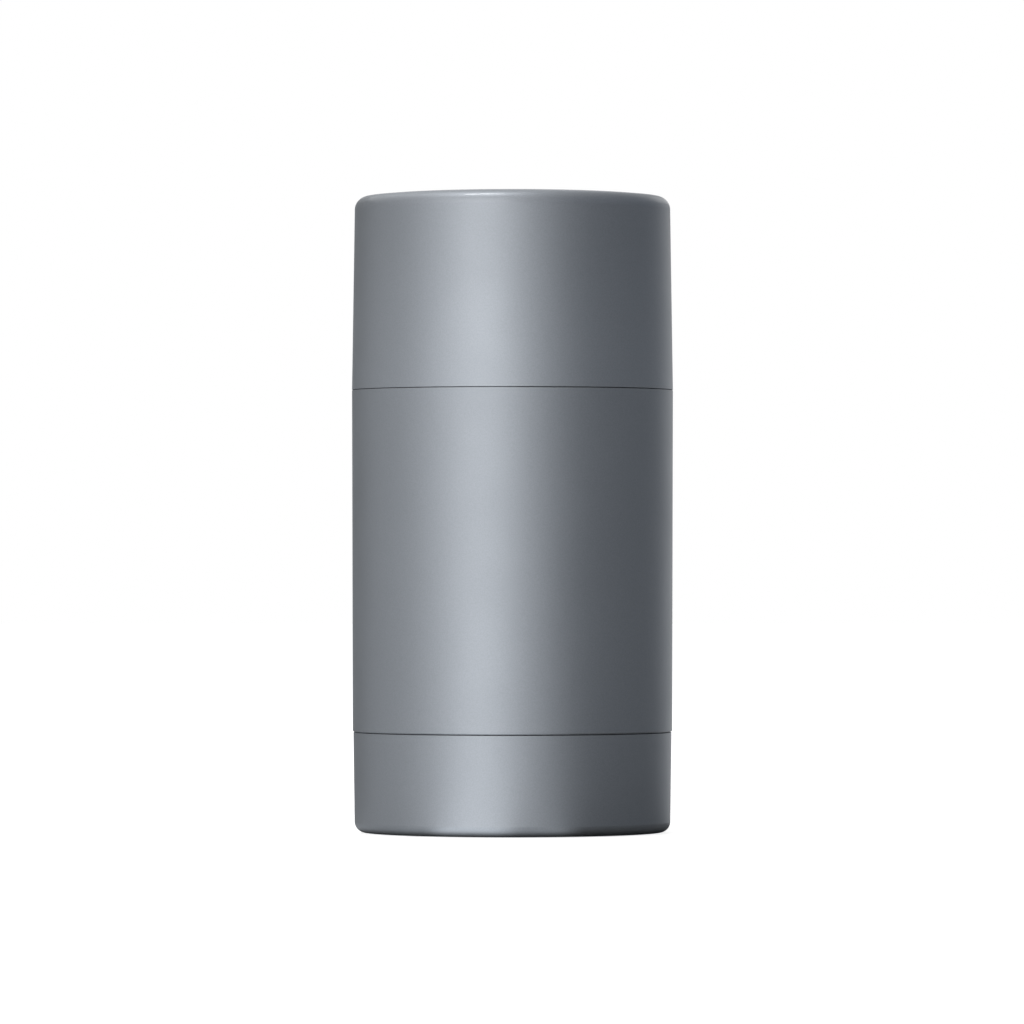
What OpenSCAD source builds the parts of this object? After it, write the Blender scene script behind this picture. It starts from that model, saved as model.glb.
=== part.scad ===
// Twist-up clay mask stick: a double-walled barrel with a turning base, a lift-off cap, and a
// spindle with a two-start thread that raises the clay. Millimetres, +Z up, the foot on Z = 0 and
// the axis on X = Y = 0. Everything stands as it does when the stick is wound down and closed.

/* [Outside] */
// Widest diameter, at the seam between the cap and the barrel
body_d = 38.5; // [37:0.5:46]
// Height from the foot to the top of the cap
total_h = 76.5; // [66:0.1:90]
// Height of the turning base
dial_h = 12; // [10.5:0.1:16]
// Height of the cap
cap_h = 23.45; // [18:0.05:30]
// How much the cap's radius narrows towards its top
cap_draft = 0.35; // [0.1:0.05:0.6]
// How much the barrel's radius narrows towards its foot
barrel_draft = 0.1; // [0.05:0.05:0.2]
// How much the base's radius narrows towards the foot
dial_draft = 0.15; // [0.05:0.05:0.25]
// How far the base's top edge stands in from the barrel's foot
dial_step = 0.08; // [0:0.02:0.2]
// Rounding of the cap's top edge
cap_rounding = 1.6; // [0.5:0.05:2]
// How far the cap's top falls towards that edge
crown_fall = 0.4; // [0.1:0.05:0.5]
// Width of the ring round the flat of the top that falls
crown_w = 4.5; // [3:0.5:8]
// Radius of the soft bend where the flat ends
crown_bend = 40; // [10:5:60]
// Rounding of the foot's outer edge
foot_rounding = 1.3; // [0.3:0.05:1.5]
// Rounding of the edges at the seams
seam_rounding = 0.05; // [0.04:0.01:0.2]
// Rounding of the barrel's lower edge
barrel_rounding = 0.2; // [0.1:0.05:0.5]

/* [Painted shells] */
// Side wall of the three shells
shell_wall = 1.25; // [1.1:0.05:1.4]
// Top wall of the cap
cap_top_wall = 1.6; // [1.2:0.1:3]
// Thickness of the barrel's lip around the neck
lip_h = 1.3; // [0.8:0.1:2.5]
// Thickness of the ring that the stick stands on
foot_lip_h = 1; // [0.8:0.05:1.4]
// Width of that ring, inwards from the base's bore
foot_lip_w = 1.9; // [1.4:0.1:4]

/* [Inner cap] */
// Side wall of the inner cap
liner_wall = 0.8; // [0.7:0.05:0.9]
// Top wall of the inner cap
liner_top_wall = 1.1; // [0.8:0.1:2]
// Thickness of the soft ring on the mouth
seal_h = 0.75; // [0.5:0.05:1.2]
// How far the soft ring lies outside the bore of the tube
seal_inset = 0.5; // [0.4:0.05:0.6]
// Bead that holds the inner cap in the outer one
liner_bead = 0.2; // [0.1:0.05:0.25]
// Height of that bead above the inner cap's foot
liner_bead_up = 3; // [2:0.5:6]
// Height of the inner cap's foot flange
liner_flange_h = 1; // [0.6:0.1:1.5]
// How far the crown of the inner cap stands in from its side
crown_step = 0.6; // [0.3:0.1:0.8]

/* [Inner tube] */
// Side wall of the tube
tube_wall = 1; // [0.9:0.05:1.2]
// Thickness of the tube's floor
floor_wall = 1.4; // [1:0.1:2]
// How far the mouth lies below the edge of the clay's dome
mouth_drop = 0.5; // [0.2:0.1:2]
// Bead on the neck that the cap clicks over
neck_bead = 0.25; // [0.15:0.05:0.3]
// Height of that bead above the barrel's shoulder
neck_bead_z = 4; // [2:0.5:8]
// Thickness of the two flanges that carry the barrel's shell
flange_h = 1.2; // [0.8:0.1:2]
// Bead on the lower flange that holds the shell
flange_bead = 0.2; // [0.1:0.05:0.25]
// Width of a key rib in the bore
key_w = 1.4; // [1:0.1:3]
// How far a key rib stands in from the bore
key_h = 0.7; // [0.5:0.1:0.9]
// How far the snap bead that holds the turning base stands out
snap_h = 0.35; // [0.25:0.05:0.4]
// Length of that bead along the axis
snap_len = 1.2; // [0.9:0.1:2]

/* [Core of the base] */
// How far the core's floor is set up from the foot
foot_recess = 0.4; // [0.2:0.05:0.6]
// Thickness of the core's floor
core_floor = 1.7; // [1.5:0.1:2.2]
// Height of the spindle's socket above that floor
socket_h = 1.4; // [1:0.1:2]
// Wall of the socket
socket_wall = 1.6; // [1:0.1:2.5]
// Thickness of plastic left under the socket
socket_floor = 0.6; // [0.5:0.1:1]
// Width of a lug that keys the core to the foot ring
lug_w = 3; // [2:0.5:5]
// Diameter of the dimple where the core was injected
gate_d = 4; // [3:0.5:6]
// Depth of that dimple
gate_depth = 0.2; // [0.1:0.05:0.3]

/* [Spindle] */
// Rise of the clay for one turn of the base
lead = 6; // [5:0.5:8]
// Outer diameter of the thread
thread_d = 6.8; // [6:0.2:9]
// Depth of the thread
thread_depth = 0.8; // [0.6:0.05:1]
// Length of the journal in the floor of the tube
journal_h = 2.5; // [2.2:0.1:4]
// Thickness of the spindle's flange
thrust_h = 1.2; // [0.8:0.1:2]
// How far that flange stands out round the journal
thrust_rim = 1.4; // [1:0.1:2]
// Plain tip above the thread
tip_h = 0.6; // [0.4:0.1:1.5]
// How much of the nut has run off the thread when the clay is right up
run_off = 1.2; // [0:0.1:3]
// Width of the hexagon end across its flats
drive_af = 5.6; // [5:0.2:6.4]
// Thickness of the ring seal's section
ring_d = 1; // [0.8:0.05:1.2]

/* [Carrier and clay] */
// Thickness of the carrier's plate
plate_h = 1.4; // [1:0.1:2.5]
// Height of the carrier's cup
cup_h = 6; // [4:0.5:9]
// Wall of the cup
cup_wall = 1; // [0.8:0.1:1.6]
// Height of the nut
nut_h = 8; // [7:0.5:12]
// Wall of the nut round the thread
nut_wall = 1.4; // [1:0.1:2.5]
// Height of the ribs that the clay grips
grip_h = 2.6; // [1.5:0.1:3.5]
// How far below the mouth the cup stops when it is wound up
stop_drop = 8; // [5:0.1:16]
// Rise of the clay's dome from its edge to its crown
dome_h = 3; // [2:0.1:5]
// Rounding of the edge of the dome
dome_rounding = 0.8; // [0.4:0.1:1.5]

/* [Clearances] */
// Seams on either side of the barrel
seam_gap = 0.07; // [0.06:0.01:0.15]
// Pieces that are pressed or poured together
fit_gap = 0.05; // [0.04:0.01:0.06]
// Surfaces that turn or slide on each other
run_gap = 0.08; // [0.06:0.01:0.1]
// The clay and its carrier in the bore of the tube
bore_gap = 0.3; // [0.2:0.05:0.4]
// The nut round the thread
thread_gap = 0.25; // [0.2:0.01:0.3]
// Ends that face each other along the axis
end_gap = 0.2; // [0.15:0.01:0.3]
// The inner cap above the crown of the clay
crown_gap = 0.6; // [0.3:0.1:1.5]
// The clay round the thread and over its tip
well_gap = 0.4; // [0.2:0.05:0.8]

/* [Hidden] */
$fn = 128;

PAINT = "#8e949b";
WHITE_PLASTIC = "#d5d6d4";
GREY_PLASTIC = "#6f7479";
SEAL_RUBBER = "#e6e4de";
CLAY = "#9c9a8f";

STARTS = 2;               // threads wound side by side on the spindle
SLICES_PER_TURN = 16;
KEY_ANGLES = [35, 215];   // around the axis, of the ribs in the bore
LUGS = 4;
SLEEVE_RIBS = 6;
FLOOR_WEBS = 6;
GRIP_RIBS = 4;
RIB_W = 0.9;
BEAD_ROUNDING = 0.5;      // radius of the beads' rounded sections
INNER_ROUNDING = 0.3;     // of moulded corners that don't show
MEET_ANGLE = 2;
TINY = 0.01;

// The outer faces
body_r = body_d / 2;
cap_z = total_h - cap_h;
barrel_z = dial_h + seam_gap;
barrel_top = cap_z - seam_gap;
barrel_foot_r = body_r - barrel_draft;
dial_top_r = barrel_foot_r - dial_step;
foot_r = dial_top_r - dial_draft;
cap_top_r = body_r - cap_draft;
function cap_bore_r(z) = body_r - cap_draft * (z - cap_z) / cap_h - shell_wall;

// From the cap inwards to the clay
cap_ceiling = total_h - cap_top_wall;
liner_r = cap_bore_r(cap_ceiling) - fit_gap;
liner_bore_r = liner_r - liner_wall;
tube_r = liner_bore_r - run_gap - neck_bead;
bore_r = tube_r - tube_wall;
clay_r = bore_r - bore_gap;

// From the cap down to the mouth of the tube
liner_top = cap_ceiling - fit_gap;
liner_ceiling = liner_top - liner_top_wall;
clay_top = liner_ceiling - crown_gap;
dome_z = clay_top - dome_h;
mouth_z = dome_z - mouth_drop;
seal_z = mouth_z + fit_gap;
seal_top = seal_z + seal_h;
seal_bore_r = bore_r + seal_inset;
liner_z = barrel_top + 2 * end_gap;

// From the foot up to the carrier
core_floor_z = foot_recess + core_floor;
tube_z = core_floor_z + 2 * end_gap;
socket_top = core_floor_z + socket_h;
thrust_z = socket_top + fit_gap;
thrust_top = thrust_z + thrust_h;
bearing_z = thrust_top + end_gap;
tube_floor_z = bearing_z + journal_h;
thread_z = tube_floor_z + end_gap / 2;
carrier_z = tube_floor_z + end_gap;
plate_top = carrier_z + plate_h;
cup_top = carrier_z + cup_h;
nut_top = carrier_z + nut_h;

// How far the carrier rises, and the spindle that takes it there
stroke = mouth_z - stop_drop - cup_top;
thread_top = carrier_z + stroke + nut_h - run_off;
spindle_tip = thread_top + tip_h;
thread_r = thread_d / 2;
journal_r = thread_r + fit_gap;
thrust_r = journal_r + thrust_rim;
bearing_r = journal_r + run_gap;
bearing_boss_r = thrust_r + tube_wall;
drive_r = drive_af / 2 / cos(30);
ring_r = bearing_r - fit_gap - ring_d / 2;
nut_r = thread_r + thread_gap + nut_wall;
cup_r = clay_r - cup_wall;
key_tip_r = bore_r - key_h;
key_top = mouth_z - stop_drop + plate_h;

// The base
dial_bore_r = foot_r - shell_wall;
core_r = dial_bore_r - fit_gap;
foot_ring_r = dial_bore_r - foot_lip_w;
core_disc_r = foot_ring_r - fit_gap;
core_bore_r = tube_r + snap_h + run_gap;
core_bead_r = tube_r + run_gap;
core_top = dial_h - end_gap;
snap_z = tube_z + snap_len;

// The barrel's shell and what carries it
sleeve_bore_r = barrel_foot_r - shell_wall;
sleeve_lip_r = tube_r + 2 * fit_gap;
sleeve_lip_z = barrel_top - lip_h;
flange_r = sleeve_bore_r - fit_gap;
upper_flange_z = sleeve_lip_z - fit_gap - flange_h;
lower_flange_z = barrel_z + end_gap;
flange_bead_z = lower_flange_z + flange_h / 2;
liner_bead_z = liner_z + liner_bead_up;

// Unit vector from one point of an outline towards another
function towards(a, b) = (b - a) / norm(b - a);

// The sliver between a corner and the arc that rounds it. It runs on past the corner to the side
// away from the arc's centre: the outside of a convex corner, or the solid side of a hollow one.
// The arc meets each side at a small angle, so that they cross and don't just touch: MEET_ANGLE, or
// less where the corner is shallow.
module corner_sliver(corner, before, after, radius) {
  to_before = towards(corner, before);
  to_after = towards(corner, after);
  half_angle = acos(to_before * to_after) / 2;
  meet_angle = min(MEET_ANGLE, (90 - half_angle) / 4);
  bisector = (to_before + to_after) / norm(to_before + to_after);
  reach = radius * cos(meet_angle) / tan(half_angle);
  centre = corner + bisector * radius * cos(meet_angle) / sin(half_angle);
  difference() {
    polygon([corner - bisector * radius, corner + to_before * reach, centre, corner + to_after * reach]);
    translate(centre) circle(r = radius);
  }
}

// A section from [radius, height, rounding] points in anticlockwise order: convex corners lose
// their sliver, and hollow corners gain it.
module section(corners) {
  count = len(corners);
  points = [for (c = corners) [c.x, c.y]];
  function before(i) = points[(i + count - 1) % count];
  function after(i) = points[(i + 1) % count];
  function turn(i) = cross(points[i] - before(i), after(i) - points[i]);
  difference() {
    union() {
      polygon(points);
      for (i = [0 : count - 1])
        if (corners[i].z > 0 && turn(i) < 0) corner_sliver(points[i], before(i), after(i), corners[i].z);
    }
    for (i = [0 : count - 1])
      if (corners[i].z > 0 && turn(i) > 0) corner_sliver(points[i], before(i), after(i), corners[i].z);
  }
}

// The round section of a bead whose crest reaches crest_r, or of the groove it sits in
module bead_section(crest_r, z) {
  translate([crest_r - BEAD_ROUNDING, z]) circle(r = BEAD_ROUNDING);
}

// A bar along a radius, centred on the angle, from r1 to r2 and z1 to z2
module radial_bar(angle, width, r1, r2, z1, z2) {
  rotate([0, 0, angle]) translate([r1, -width / 2, z1]) cube([r2 - r1, width, z2 - z1]);
}

// Cross-section of the thread. Each start has a crest, two flanks and a root, whose widths along
// the axis turn into angles through the lead. A gap makes the room that a nut leaves round it.
function thread_points(gap) =
  let (pitch = lead / STARTS,
       crest_w = pitch * 0.23 + gap,
       root_w = pitch * 0.3 - gap,
       flank_w = (pitch - crest_w - root_w) / 2,
       turn_per_mm = 360 / lead,
       crest_r = thread_r + gap,
       root_r = crest_r - thread_depth,
       flank_r = (crest_r + root_r) / 2,
       flank_at = crest_w + flank_w,
       stations = [
         [0, crest_r], [crest_w / 2, crest_r], [crest_w, crest_r], [crest_w + flank_w / 2, flank_r],
         [flank_at, root_r], [flank_at + root_w / 2, root_r], [flank_at + root_w, root_r],
         [flank_at + root_w + flank_w / 2, flank_r]
       ])
  [for (start = [0 : STARTS - 1], s = stations)
     let (angle = (start * pitch + s[0] - crest_w / 2) * turn_per_mm)
     s[1] * [cos(angle), sin(angle)]];

// The thread from thread_z upwards. Looking down, it turns clockwise as it rises, so a base turned
// to the right lifts the nut.
module thread_body(height, gap) {
  points = thread_points(gap);
  translate([0, 0, thread_z])
    linear_extrude(height = height, twist = 360 * height / lead,
                   slices = ceil(height / lead * SLICES_PER_TURN), segments = len(points))
      polygon(points);
}

// Painted outer cap, with a groove for the inner cap's bead
module cap_shell() {
  color(PAINT) rotate_extrude() difference() {
    section([
      [cap_bore_r(cap_z), cap_z, 0],
      [body_r, cap_z, seam_rounding],
      [cap_top_r, total_h - crown_fall, cap_rounding],
      [cap_top_r - crown_w, total_h, crown_bend],
      [0, total_h, 0],
      [0, cap_ceiling, 0],
      [cap_bore_r(cap_ceiling), cap_ceiling, 0.4]
    ]);
    bead_section(cap_bore_r(liner_bead_z) + liner_bead, liner_bead_z);
  }
}

// Inner cap: a skirt that hugs the neck, a ledge over the mouth and a flat top under the cap's
module cap_liner() {
  flange_top = liner_z + liner_flange_h;
  ledge_bore_r = seal_bore_r - fit_gap;
  crown_r = liner_r - crown_step;
  color(WHITE_PLASTIC) rotate_extrude() union() {
    section([
      [liner_bore_r, liner_z, 0.25],
      [cap_bore_r(liner_z) - fit_gap, liner_z, 0],
      [cap_bore_r(flange_top) - fit_gap, flange_top, 0],
      [liner_r, flange_top, 0],
      [liner_r, seal_top + liner_wall, 0],
      [crown_r, seal_top + 2 * liner_wall, 0],
      [crown_r, liner_top, 0.5],
      [0, liner_top, 0],
      [0, liner_ceiling, 0],
      [ledge_bore_r, liner_ceiling, 0.4],
      [ledge_bore_r, seal_top + fit_gap, 0],
      [liner_bore_r, seal_top + fit_gap, 0]
    ]);
    intersection() {
      bead_section(cap_bore_r(liner_bead_z) + liner_bead - fit_gap, liner_bead_z);
      translate([liner_r - liner_wall / 2, liner_bead_z - 1]) square([2, 2]);
    }
  }
}

// Soft ring that closes on the mouth of the tube
module cap_seal() {
  edge = 0.15;
  outer_r = liner_bore_r - fit_gap;
  color(SEAL_RUBBER) rotate_extrude() section([
    [seal_bore_r, seal_z, edge], [outer_r, seal_z, edge], [outer_r, seal_top, edge],
    [seal_bore_r, seal_top, edge]
  ]);
}

// Painted outer sleeve: its lip rests on the tube's upper flange, and a groove holds the lower one
module barrel_shell() {
  color(PAINT) rotate_extrude() difference() {
    section([
      [sleeve_bore_r, barrel_z, 0],
      [barrel_foot_r, barrel_z, barrel_rounding],
      [body_r, barrel_top, seam_rounding],
      [sleeve_lip_r, barrel_top, 0.2],
      [sleeve_lip_r, sleeve_lip_z, 0],
      [sleeve_bore_r, sleeve_lip_z, 0]
    ]);
    bead_section(sleeve_bore_r + flange_bead, flange_bead_z);
  }
}

// Half-section of the tube's wall, flanges, floor, bearing and beads
module tube_section() {
  floor_underside = tube_floor_z - floor_wall;
  difference() {
    union() {
      section([
        [bore_r, tube_z, 0],
        [tube_r + snap_h / 3, tube_z, 0],
        [tube_r + snap_h, tube_z + snap_len / 2, 0],
        [tube_r + snap_h, snap_z, 0],
        [tube_r, snap_z, 0],
        [tube_r, lower_flange_z, 0],
        [flange_r, lower_flange_z, 0],
        [flange_r, lower_flange_z + flange_h, 0],
        [tube_r, lower_flange_z + flange_h, 0],
        [tube_r, upper_flange_z, 0],
        [flange_r, upper_flange_z, 0],
        [flange_r, upper_flange_z + flange_h, 0],
        [tube_r, upper_flange_z + flange_h, 0],
        [tube_r, mouth_z, 0.3],
        [bore_r, mouth_z, 0.3],
        [bore_r, tube_floor_z, INNER_ROUNDING],
        [bearing_r, tube_floor_z, 0],
        [bearing_r, bearing_z, 0],
        [bearing_boss_r, bearing_z, 0],
        [bearing_boss_r, floor_underside, INNER_ROUNDING],
        [bore_r, floor_underside, INNER_ROUNDING]
      ]);
      bead_section(tube_r + neck_bead, barrel_top + neck_bead_z);
      bead_section(flange_r + flange_bead, flange_bead_z);
    }
    // The bore stays plain behind the beads.
    translate([bearing_r, tube_floor_z + 1]) square([bore_r - bearing_r, mouth_z - tube_floor_z]);
  }
}

// Inner barrel in one moulding: neck, floor, key ribs inside, and ribs that centre the outer shell
module inner_tube() {
  key_foot = tube_floor_z - floor_wall / 2;
  color(WHITE_PLASTIC) union() {
    rotate_extrude() tube_section();
    for (angle = KEY_ANGLES)
      radial_bar(angle, key_w, key_tip_r, bore_r + tube_wall / 2, key_foot, key_top);
    for (i = [0 : SLEEVE_RIBS - 1])
      radial_bar((i + 0.5) * 360 / SLEEVE_RIBS, RIB_W, bore_r + tube_wall / 2, flange_r - fit_gap,
                 lower_flange_z + flange_h / 2, upper_flange_z + flange_h / 2);
    for (i = [0 : FLOOR_WEBS - 1])
      radial_bar(i * 360 / FLOOR_WEBS, RIB_W, bearing_boss_r - 0.5, bore_r + tube_wall / 2,
                 bearing_z, tube_floor_z - floor_wall / 2);
  }
}

// Painted outer sleeve of the base, with the ring that the stick stands on
module dial_shell() {
  color(PAINT) difference() {
    rotate_extrude() section([
      [foot_ring_r, 0, 0.15],
      [foot_r, 0, foot_rounding],
      [dial_top_r, dial_h, seam_rounding],
      [dial_bore_r, dial_h, 0.2],
      [dial_bore_r, foot_lip_h, 0],
      [foot_ring_r, foot_lip_h, 0]
    ]);
    for (i = [0 : LUGS - 1])
      radial_bar((i + 0.5) * 360 / LUGS, lug_w + 2 * fit_gap, foot_ring_r - 1,
                 foot_ring_r + foot_lip_w / 2 + fit_gap, -1, foot_lip_h + 1);
  }
}

// Inner moulding of the base: a floor that shows inside the foot ring, lugs that key it there, the
// spindle's socket, and a ring whose inward bead holds the tube
module dial_core() {
  rim_z = foot_lip_h + fit_gap;
  socket_r = drive_r + socket_wall;
  bead_z = snap_z + end_gap;
  color(GREY_PLASTIC) difference() {
    union() {
      rotate_extrude() section([
        [0, foot_recess + gate_depth, 0],
        [gate_d / 2, foot_recess + gate_depth, 0],
        [gate_d / 2, foot_recess, 0],
        [core_disc_r, foot_recess, 0.2],
        [core_disc_r, rim_z, 0],
        [core_r, rim_z, 0],
        [core_r, core_top, 0.2],
        [core_bore_r, core_top, 0],
        [core_bore_r, bead_z + 1.5 * snap_len, 0],
        [core_bead_r, bead_z + snap_len, 0],
        [core_bead_r, bead_z, 0],
        [core_bore_r, bead_z, 0],
        [core_bore_r, core_floor_z, INNER_ROUNDING],
        [socket_r, core_floor_z, INNER_ROUNDING],
        [socket_r, socket_top, 0],
        [0, socket_top, 0]
      ]);
      for (i = [0 : LUGS - 1])
        radial_bar((i + 0.5) * 360 / LUGS, lug_w, core_disc_r - 1, foot_ring_r + foot_lip_w / 2,
                   foot_recess, foot_recess + core_floor / 2);
    }
    translate([0, 0, foot_recess + socket_floor])
      cylinder(r = drive_r + fit_gap / cos(30), h = socket_top, $fn = 6);
  }
}

// Spindle in one moulding: hexagon end, flange, grooved journal and thread
module lead_screw() {
  drive_z = foot_recess + socket_floor + end_gap;
  groove_w = ring_d + 2 * fit_gap;
  groove_z = (bearing_z + tube_floor_z - groove_w) / 2;
  groove_r = ring_r - ring_d / 2 - fit_gap;
  core_rod_r = thread_r - thread_depth - 4 * fit_gap;
  color(WHITE_PLASTIC) union() {
    translate([0, 0, drive_z]) cylinder(r = drive_r, h = thrust_z + thrust_h / 2 - drive_z, $fn = 6);
    rotate_extrude() section([
      [0, thrust_z, 0],
      [thrust_r, thrust_z, 0.2],
      [thrust_r, thrust_top, 0.2],
      [journal_r, thrust_top, 0],
      [journal_r, groove_z, 0],
      [groove_r, groove_z, 0],
      [groove_r, groove_z + groove_w, 0],
      [journal_r, groove_z + groove_w, 0],
      [journal_r, thread_z, 0],
      [core_rod_r, thread_z, 0],
      [core_rod_r, spindle_tip, INNER_ROUNDING],
      [0, spindle_tip, 0]
    ]);
    thread_body(thread_top - thread_z, 0);
  }
}

// Ring seal in the journal's groove
module screw_seal() {
  color(SEAL_RUBBER) translate([0, 0, (bearing_z + tube_floor_z) / 2])
    rotate_extrude() translate([ring_r, 0]) circle(d = ring_d);
}

// The cut that a key rib needs in what slides along it
module key_notches(z1, z2) {
  for (angle = KEY_ANGLES)
    radial_bar(angle, key_w + 2 * bore_gap, key_tip_r - bore_gap, bore_r, z1, z2);
}

// Ribs on the carrier's plate; with a gap, the slots that they fill in the clay
module grip_ribs(gap) {
  for (i = [0 : GRIP_RIBS - 1])
    radial_bar((i + 0.5) * 360 / GRIP_RIBS, RIB_W + 2 * gap, nut_r - 0.5, cup_r + 0.5,
               plate_top - 0.5, plate_top + grip_h + gap);
}

// Rising platform in one moulding: the nut, the cup that the clay is poured in, and key notches
module stick_carrier() {
  color(GREY_PLASTIC) difference() {
    union() {
      rotate_extrude() section([
        [0, carrier_z, 0],
        [clay_r, carrier_z, INNER_ROUNDING],
        [clay_r, cup_top, 0.2],
        [cup_r, cup_top, 0],
        [cup_r, plate_top, INNER_ROUNDING],
        [nut_r, plate_top, INNER_ROUNDING],
        [nut_r, nut_top, INNER_ROUNDING],
        [0, nut_top, 0]
      ]);
      grip_ribs(0);
    }
    key_notches(carrier_z - 1, cup_top + 1);
    thread_body(nut_top + 0.5 - thread_z, thread_gap);
  }
}

// Half-section of the clay's outside: a wall, a rounded edge and a dome whose arc meets the axis
module dome_section(base_z) {
  arc_r = (clay_r * clay_r + dome_h * dome_h) / (2 * dome_h);
  arc_z = clay_top - arc_r;
  edge_x = clay_r - dome_rounding;
  edge_z = arc_z + sqrt(pow(arc_r - dome_rounding, 2) - edge_x * edge_x);
  meet = [0, arc_z] + [edge_x, edge_z - arc_z] * arc_r / (arc_r - dome_rounding);
  polygon([[0, base_z], [clay_r, base_z], [clay_r, edge_z], [edge_x, edge_z], meet, [0, meet.y]]);
  translate([edge_x, edge_z]) circle(r = dome_rounding);
  intersection() {
    translate([0, arc_z]) circle(r = arc_r);
    translate([0, meet.y - TINY]) square([meet.x, clay_top - meet.y + 1]);
  }
}

// The clay: poured in the carrier's cup, hollow round the spindle and grooved by the key ribs
module clay_stick() {
  well_r = thread_r + well_gap;
  well_top = spindle_tip + well_gap;
  plug_inner_r = nut_r + fit_gap;
  plug_outer_r = cup_r - fit_gap;
  corner = INNER_ROUNDING + fit_gap;
  color(CLAY) difference() {
    rotate_extrude() union() {
      difference() {
        dome_section(cup_top + fit_gap);
        translate([-1, cup_top - 1]) square([plug_inner_r + 1, nut_top + fit_gap - cup_top + 1]);
        translate([-1, cup_top - 1]) square([well_r + 1, well_top - cup_top + 1]);
      }
      section([
        [plug_inner_r, plate_top + fit_gap, corner],
        [plug_outer_r, plate_top + fit_gap, corner],
        [plug_outer_r, cup_top + 1, 0],
        [plug_inner_r, cup_top + 1, 0]
      ]);
    }
    key_notches(plate_top - 1, key_top + bore_gap);
    grip_ribs(fit_gap);
  }
}

cap_shell();
cap_liner();
cap_seal();
barrel_shell();
inner_tube();
dial_shell();
dial_core();
lead_screw();
screw_seal();
stick_carrier();
clay_stick();
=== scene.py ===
"""Dresses the packed clay mask stick: a material for every piece, a pale floor, studio light and the
camera of the photograph. All lengths are metres in the part's own frame, with the foot on Z = 0."""
import math
import bpy
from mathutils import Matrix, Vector


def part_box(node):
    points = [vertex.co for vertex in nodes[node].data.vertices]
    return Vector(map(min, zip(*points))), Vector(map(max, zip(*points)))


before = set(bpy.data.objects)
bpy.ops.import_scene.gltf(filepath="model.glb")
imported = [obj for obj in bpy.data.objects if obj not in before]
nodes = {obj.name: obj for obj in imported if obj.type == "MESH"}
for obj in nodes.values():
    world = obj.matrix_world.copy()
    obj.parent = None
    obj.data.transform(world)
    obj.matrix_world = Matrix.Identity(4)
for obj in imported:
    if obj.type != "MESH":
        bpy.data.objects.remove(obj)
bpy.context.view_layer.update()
scene = bpy.context.scene
MM = 0.001

# Colours of the materials, each as its darker and its lighter shade
PAINT = (0.223, 0.240, 0.262), (0.247, 0.265, 0.289)
WHITE_PLASTIC = (0.65, 0.66, 0.65), (0.675, 0.685, 0.675)
GREY_PLASTIC = (0.152, 0.166, 0.181), (0.168, 0.184, 0.2)
SILICONE = (0.72, 0.70, 0.66), (0.80, 0.78, 0.74)
CLAY = (0.30, 0.29, 0.25), (0.37, 0.36, 0.315)
CLAY_SPECK = (0.16, 0.155, 0.135)

# The cap's paint: its painted light, lighter at the open and darker at the closed end, and the gloss
# round the top edge, with the depths below the top where it sets in, is full, begins to fade and ends
OPEN_END_PAINTED_LIGHT = 1.07
CLOSED_END_PAINTED_LIGHT = 0.96
EDGE_GLOSS = 0.3
EDGE_GLOSS_DEPTHS = 1.45 * MM, 1.1 * MM, 0.75 * MM, 0.5 * MM

# Camera: long lens, level with the lower half of the barrel, and square on to it
LENS = 268.6
CAMERA_X = -0.06 * MM
CAMERA_AT = Vector((CAMERA_X, -0.9165, 0.0326))
LOOK_AT = Vector((CAMERA_X, 0.0, 0.0384))

# World and floor: how strong the white world is as a source of light, and the floor, a hair below
# the foot, with the glow that makes it white where it is seen
WHITE = (1.0, 1.0, 1.0)
AMBIENT = 0.35
FLOOR_SIZE = 6.0
FLOOR_DEPTH = 0.1 * MM
FLOOR_PAPER = (0.7, 0.7, 0.7)
FLOOR_GLOW = 0.8

# Studio: radiance of the key light and of the floor far from the foot and beside it, where it is
# painted shade, tints, how far off the cards stand, and the height of the sheet on the floor
KEY = 2.57
OPEN_FLOOR = 1.0
SHADED_FLOOR = 0.85
KEY_TINT = (1.03, 1.0, 0.97)
GREY_TINT = (0.92, 0.985, 1.095)
FLOOR_TINT = (0.98, 1.0, 1.02)
CARD_AT = 1.3
SHEET_HEIGHT = 0.05 * MM

# Radii on the floor: the footprint's edge, the gap under its rounding, painted dark, and where the
# painted shade ends
FOOT = 19.0 * MM
UNDER_FOOT = 18.0 * MM, 19.7 * MM
NEAR = 90.0 * MM

# Fields of the floor sheet: first and last azimuth, and radiance beside the foot, painted shade, and
# far from it
FLOOR_FIELDS = [
    (-40, -2.5, 2.25, KEY),
    (29, 133, 0.11, 0.22),
    (-126, -62, 0.68, 0.78),
    (-174, -126, 0.17, 0.2),
]
FIELD_BLUR = 9


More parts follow.
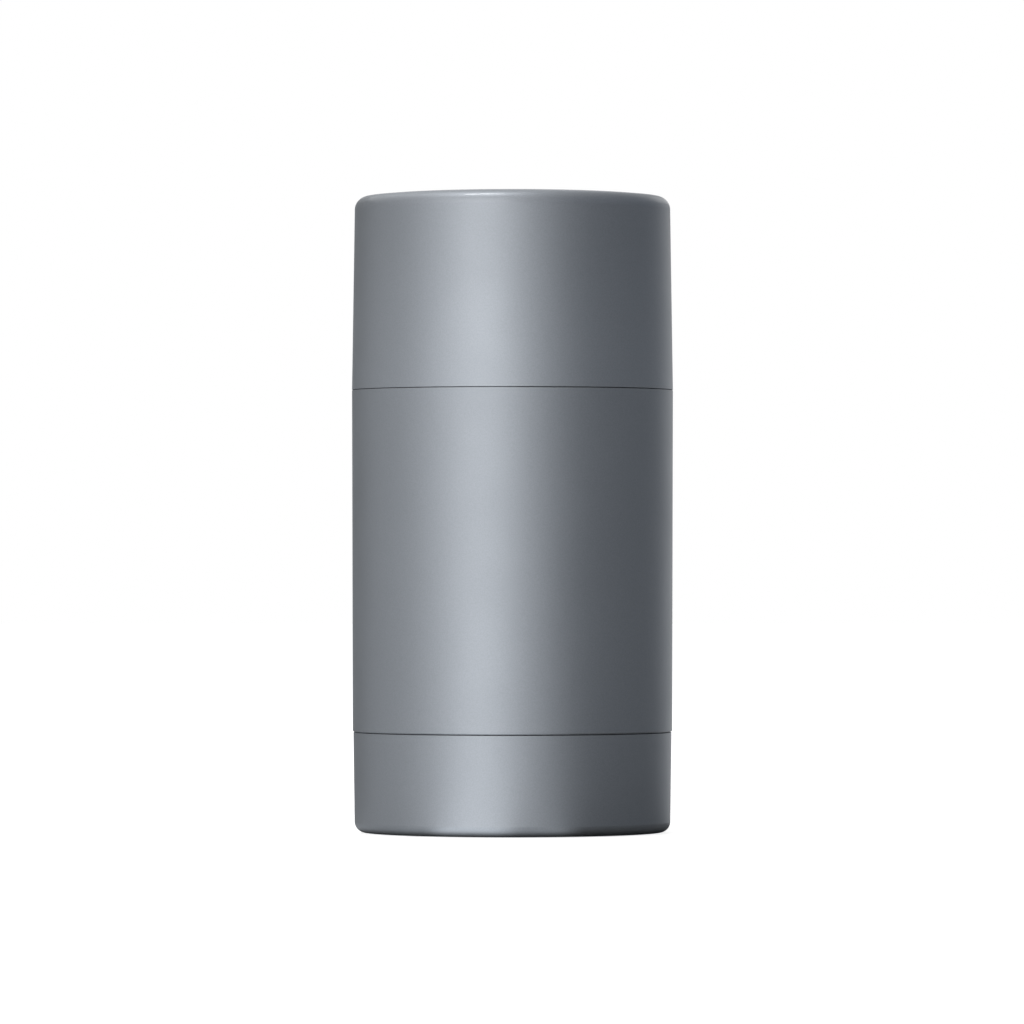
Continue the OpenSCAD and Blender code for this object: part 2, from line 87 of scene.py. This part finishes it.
class Wire:
    """An output socket in a material. Sums on it add Math nodes, and add() makes any other node."""

    def __init__(self, tree, socket=None):
        self.tree = tree
        self.socket = socket

    def add(self, kind, settings=None, sockets=None, output=0):
        """A new node: its settings first, then the values or links of its sockets."""
        node = self.tree.nodes.new(kind)
        for name, value in (settings or {}).items():
            setattr(node, name, value)
        for name, value in (sockets or {}).items():
            if isinstance(value, Wire):
                self.tree.links.new(value.socket, node.inputs[name])
            else:
                node.inputs[name].default_value = value
        return Wire(self.tree, node.outputs[output])

    def reckon(self, operation, *values):
        """A Math node on the values, which are numbers or wires."""
        return self.add("ShaderNodeMath", {"operation": operation}, dict(enumerate(values)))

    def __add__(self, other):
        return self.reckon("ADD", self, other)

    def __radd__(self, other):
        return self.reckon("ADD", other, self)

    def __sub__(self, other):
        return self.reckon("SUBTRACT", self, other)

    def __rsub__(self, other):
        return self.reckon("SUBTRACT", other, self)

    def __mul__(self, other):
        return self.reckon("MULTIPLY", self, other)

    def __rmul__(self, other):
        return self.reckon("MULTIPLY", other, self)

    def __truediv__(self, other):
        return self.reckon("DIVIDE", self, other)

    def __rtruediv__(self, other):
        return self.reckon("DIVIDE", other, self)

    def larger(self, other):
        return self.reckon("MAXIMUM", self, other)

    def along(self, axis):
        """The coordinate X, Y or Z of this point."""
        return self.add("ShaderNodeSeparateXYZ", None, {"Vector": self}, output=axis)

    def step(self, low, high):
        """0 below low and 1 above high, with a smooth rise between them."""
        return self.add("ShaderNodeMapRange", {"interpolation_type": "SMOOTHSTEP"},
                        {"Value": self, "From Min": low, "From Max": high})

    def tint(self, low, high):
        """The colour low where this value is 0, and high where it is 1."""
        # A colour mix has its factor at socket 0 and its two colours at 6 and 7
        return self.add("ShaderNodeMix", {"data_type": "RGBA"},
                        {0: self, 6: opaque(low), 7: opaque(high)}, output=2)

    def mottle(self, dark, light):
        """Soft patches of two colours, from noise."""
        return self.step(0.3, 0.7).tint(dark, light)

    def ripple(self, spread):
        """Noise as a change up and down, over a range of about the given spread."""
        return (self - 0.5) * spread

    def grain(self, size, detail=2.0, roughness=0.5):
        """Soft noise round 0.5 on this point, with lumps of about the given size."""
        return self.add("ShaderNodeTexNoise", None,
                        {"Vector": self, "Scale": 1 / size, "Detail": detail, "Roughness": roughness})

    def cells(self, size):
        """Distance to the nearest of many scattered points, in cells of the given size."""
        return self.add("ShaderNodeTexVoronoi", None, {"Vector": self, "Scale": 1 / size})


def opaque(colour):
    """A colour value as a socket takes it. A wire stays as it is."""
    return colour if isinstance(colour, Wire) else (*colour, 1.0)


def start_material(name):
    """An empty material and the wire that its nodes start from."""
    made = bpy.data.materials.new(name)
    made.use_nodes = True
    made.node_tree.nodes.clear()
    return made, Wire(made.node_tree)


def surface_point(start):
    """The point in the frame of the part, which moves with the piece."""
    return start.add("ShaderNodeTexCoord", output="Object")


def bump(height, depth, normal=None):
    """A normal whose relief is height, from 0 to 1, times the depth."""
    sockets = {"Height": height, "Distance": depth, "Strength": 1.0}
    if normal is not None:
        sockets["Normal"] = normal
    return height.add("ShaderNodeBump", None, sockets)


def show(shader, kind="ShaderNodeOutputMaterial"):
    """Links a shader to the output that the renderer reads."""
    shader.tree.links.new(shader.socket, shader.tree.nodes.new(kind).inputs["Surface"])


def end_material(start, sockets):
    """Closes a material with its shader."""
    show(start.add("ShaderNodeBsdfPrincipled", None, sockets))


def glow(start, colour, strength):
    """A shader that glows the same in every direction."""
    return start.add("ShaderNodeEmission", None, {"Color": opaque(colour), "Strength": strength})


def satin_paint(name, foot=None, top=None):
    """Cool grey metallic paint: fine flakes in a satin lacquer with a slight orange peel. On the
    cap, between the heights foot and top, painted light makes the colour lighter towards the open
    end and darker towards the closed one, and the lacquer has run to a gloss round the edge of the
    closed one."""
    made, start = start_material(name)
    point = surface_point(start)
    flakes = point.grain(0.14 * MM, detail=1.0)
    handling = point.grain(9 * MM, detail=3.0)
    peel = point.grain(1.3 * MM, detail=1.0)

    # The flakes' colour times a factor, which on the cap is painted light that changes with height
    def flakes_with_painted_light(shade):
        return flakes.mottle(*[[value * shade for value in colour] for colour in PAINT])

    sockets = {
        "Metallic": 0.9,
        "Roughness": 0.5 + flakes.ripple(0.12) + handling.ripple(0.1),
        "Normal": bump(peel, 0.004 * MM, bump(flakes, 0.0012 * MM)),
    }
    if top is None:
        sockets["Base Color"] = flakes_with_painted_light(1.0)
    else:
        height = point.along("Z")
        sets_in, full, fades, ends = [top - depth for depth in EDGE_GLOSS_DEPTHS]
        # Painted light: the cap's colour is lighter towards its open end and darker towards its closed
        # end
        sockets["Base Color"] = height.step(foot, top).tint(
            flakes_with_painted_light(OPEN_END_PAINTED_LIGHT), flakes_with_painted_light(CLOSED_END_PAINTED_LIGHT))
        sockets["Coat Weight"] = EDGE_GLOSS * (height.step(sets_in, full) - height.step(fades, ends))
        sockets["Coat Roughness"] = 0.1
    end_material(start, sockets)
    return made


def moulded_plastic(name, colours, roughness, grain_depth):
    """Unpainted moulding: faint flow marks in the colour and the fine grain of its mould."""
    made, start = start_material(name)
    point = surface_point(start)
    flow = point.grain(6 * MM, detail=3.0)
    mould = point.grain(0.22 * MM, detail=2.0)
    sink = point.grain(3.5 * MM, detail=0.0)
    end_material(start, {
        "Base Color": flow.mottle(*colours),
        "Roughness": roughness + mould.ripple(0.12) + flow.ripple(0.08),
        "Normal": bump(sink, 0.01 * MM, bump(mould, grain_depth)),
    })
    return made


def seal_rubber():
    """Soft ring seals: cloudy pale silicone with a dusty skin."""
    made, start = start_material("seal_rubber")
    point = surface_point(start)
    cloud = point.grain(2 * MM, detail=2.0)
    dust = point.grain(0.1 * MM, detail=2.0)
    end_material(start, {
        "Base Color": cloud.mottle(*SILICONE),
        "Roughness": 0.62 + dust.ripple(0.2),
        "Normal": bump(dust, 0.002 * MM),
    })
    return made


def mask_clay():
    """Poured clay: a matte, creamy body with fine mineral grains, pinholes and slow streaks."""
    made, start = start_material("mask_clay")
    point = surface_point(start)
    streaks = point.grain(5 * MM, detail=4.0, roughness=0.6)
    powder = point.grain(0.16 * MM, detail=3.0, roughness=0.7)
    specks = 1.0 - point.cells(0.9 * MM).step(0.1, 0.2)
    pinholes = 1.0 - point.cells(2.3 * MM).step(0.06, 0.13)
    lumps = point.grain(1.6 * MM, detail=2.0)
    end_material(start, {
        "Base Color": (specks * 0.5).tint(streaks.mottle(*CLAY), CLAY_SPECK),
        "Roughness": 0.78 + powder.ripple(0.3) + pinholes * 0.1,
        "Normal": bump(lumps + powder * 0.35 - pinholes * 0.9, 0.05 * MM),
    })
    return made


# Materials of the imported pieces
cap_low, cap_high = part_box("cap_shell")
paint = satin_paint("satin_metallic_paint")
# The cap's paint carries painted light: lighter towards the open end, darker towards the top
cap_paint_and_painted_light = satin_paint("cap_paint_and_painted_light", foot=cap_low[2], top=cap_high[2])
white_plastic = moulded_plastic("white_plastic", WHITE_PLASTIC, roughness=0.38, grain_depth=0.0012 * MM)
grey_plastic = moulded_plastic("grey_plastic", GREY_PLASTIC, roughness=0.46, grain_depth=0.0025 * MM)
rubber = seal_rubber()
clay = mask_clay()
WEARS = {
    "cap_shell": cap_paint_and_painted_light,
    "barrel_shell": paint,
    "dial_shell": paint,
    "cap_liner": white_plastic,
    "inner_tube": white_plastic,
    "lead_screw": white_plastic,
    "dial_core": grey_plastic,
    "stick_carrier": grey_plastic,
    "cap_seal": rubber,
    "screw_seal": rubber,
    "clay_stick": clay,
}
for name, finish in WEARS.items():
    for slot in nodes[name].material_slots:
        slot.link = "OBJECT"
        slot.material = finish


def seen_directly(start):
    """1 on rays that show a surface to the camera, straight or through gloss or glass."""
    def ray(kind):
        return start.add("ShaderNodeLightPath", output=kind)
    return ray("Is Camera Ray").larger(ray("Is Glossy Ray")).larger(ray("Is Transmission Ray"))


# World: white where it is seen or mirrored, and dim as a source of light
world = bpy.data.worlds.new("studio_air")
world.use_nodes = True
world.node_tree.nodes.clear()
air = Wire(world.node_tree)
background = air.add("ShaderNodeBackground", None, {
    "Color": opaque(WHITE),
    "Strength": AMBIENT + seen_directly(air) * (1 - AMBIENT),
})
show(background, "ShaderNodeOutputWorld")
scene.world = world


def pale_floor():
    """White where it is seen, and still darkened a little by the shadow of the stick."""
    made, start = start_material("pale_floor")
    paper = start.add("ShaderNodeBsdfDiffuse", None, {"Color": opaque(FLOOR_PAPER)})
    shine = glow(start, WHITE, seen_directly(start) * FLOOR_GLOW)
    show(start.add("ShaderNodeAddShader", None, {0: paper, 1: shine}))
    return made


# Floor
half = FLOOR_SIZE / 2
corners = [(-half, -half), (half, -half), (half, half), (-half, half)]
floor_mesh = bpy.data.meshes.new("floor")
floor_mesh.from_pydata([(x, y, -FLOOR_DEPTH) for x, y in corners], [], [(0, 1, 2, 3)])
floor = bpy.data.objects.new("floor", floor_mesh)
floor.data.materials.append(pale_floor())
scene.collection.objects.link(floor)


def at_azimuth(azimuth, distance, height):
    """A point round the stick. Azimuth 0 is on the camera's side, and 90 on its right."""
    turn = math.radians(azimuth)
    return Vector((math.sin(turn) * distance, -math.cos(turn) * distance, height))


def level_softbox(name, place, width, depth, radiance, tint=WHITE):
    """An area lamp of even radiance that faces down."""
    data = bpy.data.lights.new(name, "AREA")
    data.shape = "RECTANGLE"
    data.size = width
    data.size_y = depth
    data.energy = radiance * width * depth * math.pi
    data.color = tint
    lamp = bpy.data.objects.new(name, data)
    lamp.location = place
    lamp.visible_camera = False
    scene.collection.objects.link(lamp)
    return lamp


def upright_softbox(name, azimuth, distance, width, low, high, radiance, tint=WHITE):
    """An area lamp between two heights that faces the axis."""
    place = at_azimuth(azimuth, distance, (low + high) / 2)
    lamp = level_softbox(name, place, width, high - low, radiance, tint)
    lamp.rotation_euler = (math.radians(90), 0, math.radians(azimuth))


def ring_sheet(name, first, last, rings, material):
    """A sheet round the axis between two azimuths, through rings of radius and height. It shows
    in reflections alone and lights nothing."""
    steps = 32
    points = []
    for i in range(steps + 1):
        azimuth = first + (last - first) * i / steps
        points += [at_azimuth(azimuth, radius, height) for radius, height in rings]
    faces = []
    for i in range(steps):
        for k in range(len(rings) - 1):
            one = i * len(rings) + k
            faces.append((one, one + 1, one + 1 + len(rings), one + len(rings)))
    mesh = bpy.data.meshes.new(name)
    mesh.from_pydata(points, [], faces)
    mesh.materials.append(material)
    sheet = bpy.data.objects.new(name, mesh)
    sheet.visible_camera = False
    sheet.visible_diffuse = False
    sheet.visible_transmission = False
    sheet.visible_shadow = False
    sheet.visible_volume_scatter = False
    scene.collection.objects.link(sheet)


def card(name, first, last, rings, radiance, tint=WHITE):
    """A sheet round the axis with an even glow."""
    made, start = start_material(name)
    show(glow(start, tint, radiance))
    ring_sheet(name, first, last, rings, made)


def floor_sheet():
    """A sheet on the floor, with fields of other radiances between two azimuths each, and soft
    edges between them. A field has one radiance beside the foot, a painted shadow of the stick on
    the floor, and another from NEAR outwards. The fields draw in towards azimuth 0 beside the foot,
    which mirrors them from in front of the axis. Close under its rounding all is painted dark, as
    shade."""
    made, start = start_material("floor_sheet")
    point = surface_point(start)
    x = point.along("X")
    y = point.along("Y")
    away = start.reckon("SQRT", x * x + y * y)
    azimuth = start.reckon("ARCTAN2", x, 0.0 - y) * math.degrees(1)
    azimuth = azimuth / (1.0 - FOOT / 4 / away)
    # Painted shade of the stick beside the foot, fading out towards NEAR
    beyond = away.step(FOOT, NEAR)
    radiance = SHADED_FLOOR + beyond * (OPEN_FLOOR - SHADED_FLOOR)
    for first, last, shaded, lit in FLOOR_FIELDS:
        begun = azimuth.step(first - FIELD_BLUR, first + FIELD_BLUR)
        ended = azimuth.step(last - FIELD_BLUR, last + FIELD_BLUR)
        radiance = radiance + (begun - ended) * (shaded + beyond * (lit - shaded) - radiance)
    # Painted shadow: dark close under the foot's rounding
    radiance = radiance * away.step(*UNDER_FOOT)
    show(glow(start, FLOOR_TINT, radiance))
    ring_sheet("floor_sheet", -180, 180, [(UNDER_FOOT[0], SHEET_HEIGHT), (CARD_AT, SHEET_HEIGHT)], made)


# Softboxes and cards: a bright front left, a dark right side and a darker back left; the cards are
# painted reflections, and the dark ones painted shade
upright_softbox("key_softbox", azimuth=-21, distance=1.0, width=0.61, low=0.02, high=1.0,
                radiance=KEY, tint=KEY_TINT)
upright_softbox("left_softbox", azimuth=-55, distance=1.0, width=0.42, low=0.02, high=1.0, radiance=1.0)
upright_softbox("high_softbox", azimuth=-21, distance=0.6, width=0.3, low=1.1, high=1.3, radiance=3.0)
level_softbox("overhead_softbox", place=(-0.34, 0.3, 1.0), width=0.84, depth=1.8, radiance=0.5)
level_softbox("strip_softbox", place=(-0.2, -0.06, 0.99), width=0.26, depth=0.07, radiance=40.0)
card("right_card", 27, 140, [(CARD_AT, 0), (CARD_AT, 1.8)], 0.335, GREY_TINT)
card("high_card", 27, 162, [(CARD_AT + 0.05, 0.75), (CARD_AT + 0.05, 1.85), (0.15, 1.85)], 0.52)
card("left_card", -126, -62, [(CARD_AT, 0), (CARD_AT, 1.0)], 0.78)
card("back_card", -174, -126, [(CARD_AT, 0), (CARD_AT, 0.6)], 0.2)
floor_sheet()

# Camera of the photograph
camera_data = bpy.data.cameras.new("camera")
camera_data.lens = LENS
camera_data.sensor_width = 36.0
camera_data.clip_start = 0.01
camera_data.clip_end = 20.0
camera = bpy.data.objects.new("camera", camera_data)
camera.location = CAMERA_AT
camera.rotation_euler = (LOOK_AT - CAMERA_AT).to_track_quat("-Z", "Y").to_euler()
scene.collection.objects.link(camera)
scene.camera = camera
scene.view_settings.view_transform = "Standard"
